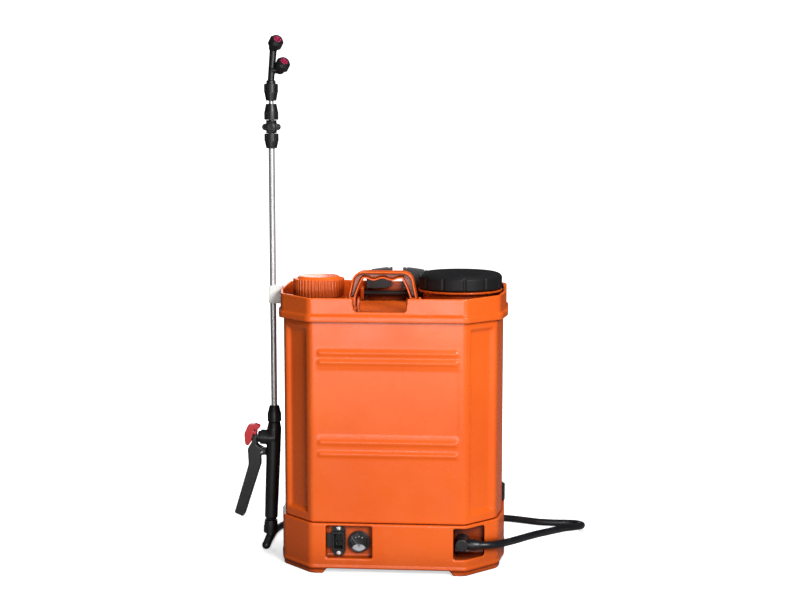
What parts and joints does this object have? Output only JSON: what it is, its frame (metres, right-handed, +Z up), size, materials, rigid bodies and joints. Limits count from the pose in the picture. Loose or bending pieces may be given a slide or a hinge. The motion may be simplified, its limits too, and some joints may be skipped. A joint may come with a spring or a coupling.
{
  "type": "knapsack sprayer",
  "caption": "Orange knapsack sprayer: tank on a base with battery and pump, screw caps, folding handle, padded straps, hose and a telescopic trigger lance.",
  "frame": {"origin": "on the floor under the middle of the tank, at the middle of the base plate's centre pad", "axes": "+Z up; -Y is the front panel with the charging socket, +Y faces the wearer's back; +X is the filler cap's side and -X the lance's side"},
  "size_m": [0.586, 0.3412, 0.8459],
  "materials": {
    "orange_gloss": "glossy moulded polyethylene, orange",
    "black_plastic": "moulded black plastic, satin",
    "cap_black": "moulded black plastic, slightly glossy",
    "zinc_steel": "zinc-plated steel",
    "tube_steel": "drawn stainless tube",
    "seal_rubber": "black rubber seal",
    "clip_white": "translucent white plastic",
    "brass_contact": "bare contact metal",
    "dial_print": "black printed dial with a pale half-moon",
    "needle_white": "white painted needle",
    "clear_lens": "clear window",
    "rocker_red": "red moulded rocker",
    "battery_grey": "grey battery case",
    "pipe_grey": "grey flexible pipe",
    "hose_rubber": "black hose, satin",
    "strap_fabric": "black padded strap",
    "webbing": "black woven webbing",
    "latch_red": "red moulded latch",
    "tip_crimson": "crimson nozzle insert"
  },
  "bodies": {
    "root": {"tank_body": "orange_gloss", "top_collar": "orange_gloss", "base_shell": "orange_gloss", "base_plate": "black_plastic", "base_screws": "zinc_steel", "filler_strainer": "black_plastic", "handle_pins": "zinc_steel", "lance_clip": "clip_white", "clip_screw": "zinc_steel", "charge_socket": "black_plastic", "charge_pins": "brass_contact", "socket_screws": "zinc_steel", "gauge_case": "black_plastic", "gauge_dial": "dial_print", "gauge_lens": "clear_lens", "power_switch": "black_plastic", "battery": "battery_grey", "battery_terminals": "brass_contact", "pump_motor": "zinc_steel", "pump_head": "black_plastic", "tank_outlet": "black_plastic", "suction_pipe": "pipe_grey", "delivery_pipe": "pipe_grey", "outlet_elbow": "black_plastic", "hose_nut": "black_plastic", "hose": "hose_rubber", "strap_bar": "black_plastic", "shoulder_pad_left": "strap_fabric", "shoulder_pad_right": "strap_fabric", "strap_webbing": "webbing", "strap_buckles": "black_plastic", "strap_lugs": "black_plastic"},
    "handle": {"carry_handle": "orange_gloss"},
    "filler_seal": {"filler_gasket": "seal_rubber"},
    "filler": {"filler_cap": "cap_black", "vent_valve": "cap_black"},
    "aux_seal": {"aux_gasket": "seal_rubber"},
    "aux": {"aux_cap": "orange_gloss"},
    "lance": {"hose_elbow": "black_plastic", "swivel_nut": "black_plastic", "grip_body": "black_plastic", "trigger_pin": "zinc_steel", "valve_cap": "black_plastic", "valve_spring": "zinc_steel", "lance_nut": "black_plastic", "outer_tube": "tube_steel", "clamp_nut_lower": "black_plastic", "coupler": "black_plastic"},
    "stem": {"valve_stem": "zinc_steel"},
    "lever": {"trigger_lever": "black_plastic"},
    "latch": {"trigger_latch": "latch_red"},
    "clamp": {"clamp_nut_upper": "black_plastic"},
    "wand": {"inner_tube": "tube_steel", "nozzle_nut": "black_plastic", "nozzle_body": "black_plastic", "nozzle_tips": "tip_crimson"},
    "nozzle_lower": {"nozzle_cap_lower": "black_plastic"},
    "nozzle_upper": {"nozzle_cap_upper": "black_plastic"},
    "needle": {"gauge_needle": "needle_white"},
    "rocker": {"switch_rocker": "rocker_red"}
  },
  "joints": [
    {"name": "handle_fold", "type": "hinge", "parent": "root", "child": "handle", "pos_m": [-0.009, -0.08, 0.43], "axis": [-1, 0, 0], "range_deg": [0, 80]},
    {"name": "filler_lift", "type": "slide", "parent": "root", "child": "filler_seal", "axis": [0, 0, 1], "range_m": [0, 0.1]},
    {"name": "filler_turn", "type": "hinge", "parent": "filler_seal", "child": "filler", "pos_m": [0.108, 0.01, 0.455], "axis": [0, 0, 1], "continuous": true},
    {"name": "aux_lift", "type": "slide", "parent": "root", "child": "aux_seal", "axis": [0, 0, 1], "range_m": [0, 0.08]},
    {"name": "aux_turn", "type": "hinge", "parent": "aux_seal", "child": "aux", "pos_m": [-0.118, -0.02, 0.45], "axis": [0, 0, 1], "continuous": true},
    {"name": "lance_out", "type": "slide", "parent": "root", "child": "lance", "axis": [-1, 0, 0], "range_m": [0, 0.05]},
    {"name": "trigger", "type": "hinge", "parent": "lance", "child": "lever", "pos_m": [-0.21821, 0.015, 0.16733], "axis": [0, -1, 0], "range_deg": [0, 16], "stiffness_Nm_per_rad": 0.6, "springref_deg": -14.32},
    {"name": "stem_pull", "type": "slide", "parent": "lance", "child": "stem", "axis": [-0.999, 0, 0.0436], "range_m": [0, 0.0075], "deforming": ["valve_spring"]},
    {"name": "latch_lift", "type": "hinge", "parent": "lever", "child": "latch", "pos_m": [-0.23017, 0.015, 0.20289], "axis": [0, 1, 0], "range_deg": [0, 12]},
    {"name": "clamp_turn", "type": "hinge", "parent": "lance", "child": "clamp", "pos_m": [-0.198, 0.015, 0.724], "axis": [0, 0, 1], "range_deg": [0, 180]},
    {"name": "telescope", "type": "slide", "parent": "lance", "child": "wand", "axis": [0, 0, 1], "range_m": [0, 0.35]},
    {"name": "nozzle_lower_turn", "type": "hinge", "parent": "wand", "child": "nozzle_lower", "pos_m": [-0.183, 0.015, 0.791], "axis": [0.4292, -0.6609, 0.6157], "range_deg": [0, 180]},
    {"name": "nozzle_upper_turn", "type": "hinge", "parent": "wand", "child": "nozzle_upper", "pos_m": [-0.1935, 0.015, 0.826], "axis": [0.4292, -0.6609, 0.6157], "range_deg": [0, 180]},
    {"name": "needle_swing", "type": "hinge", "parent": "root", "child": "needle", "pos_m": [-0.0465, -0.097, 0.043], "axis": [0, 1, 0], "range_deg": [0, 84]},
    {"name": "rocker_tilt", "type": "hinge", "parent": "root", "child": "rocker", "pos_m": [-0.1775, 0.04, 0.05], "axis": [0, 1, 0], "range_deg": [0, 16]}
  ],
  "couplings": [
    {"joint": "stem_pull", "follows": "trigger", "m_per_rad": 0.024}
  ]
}
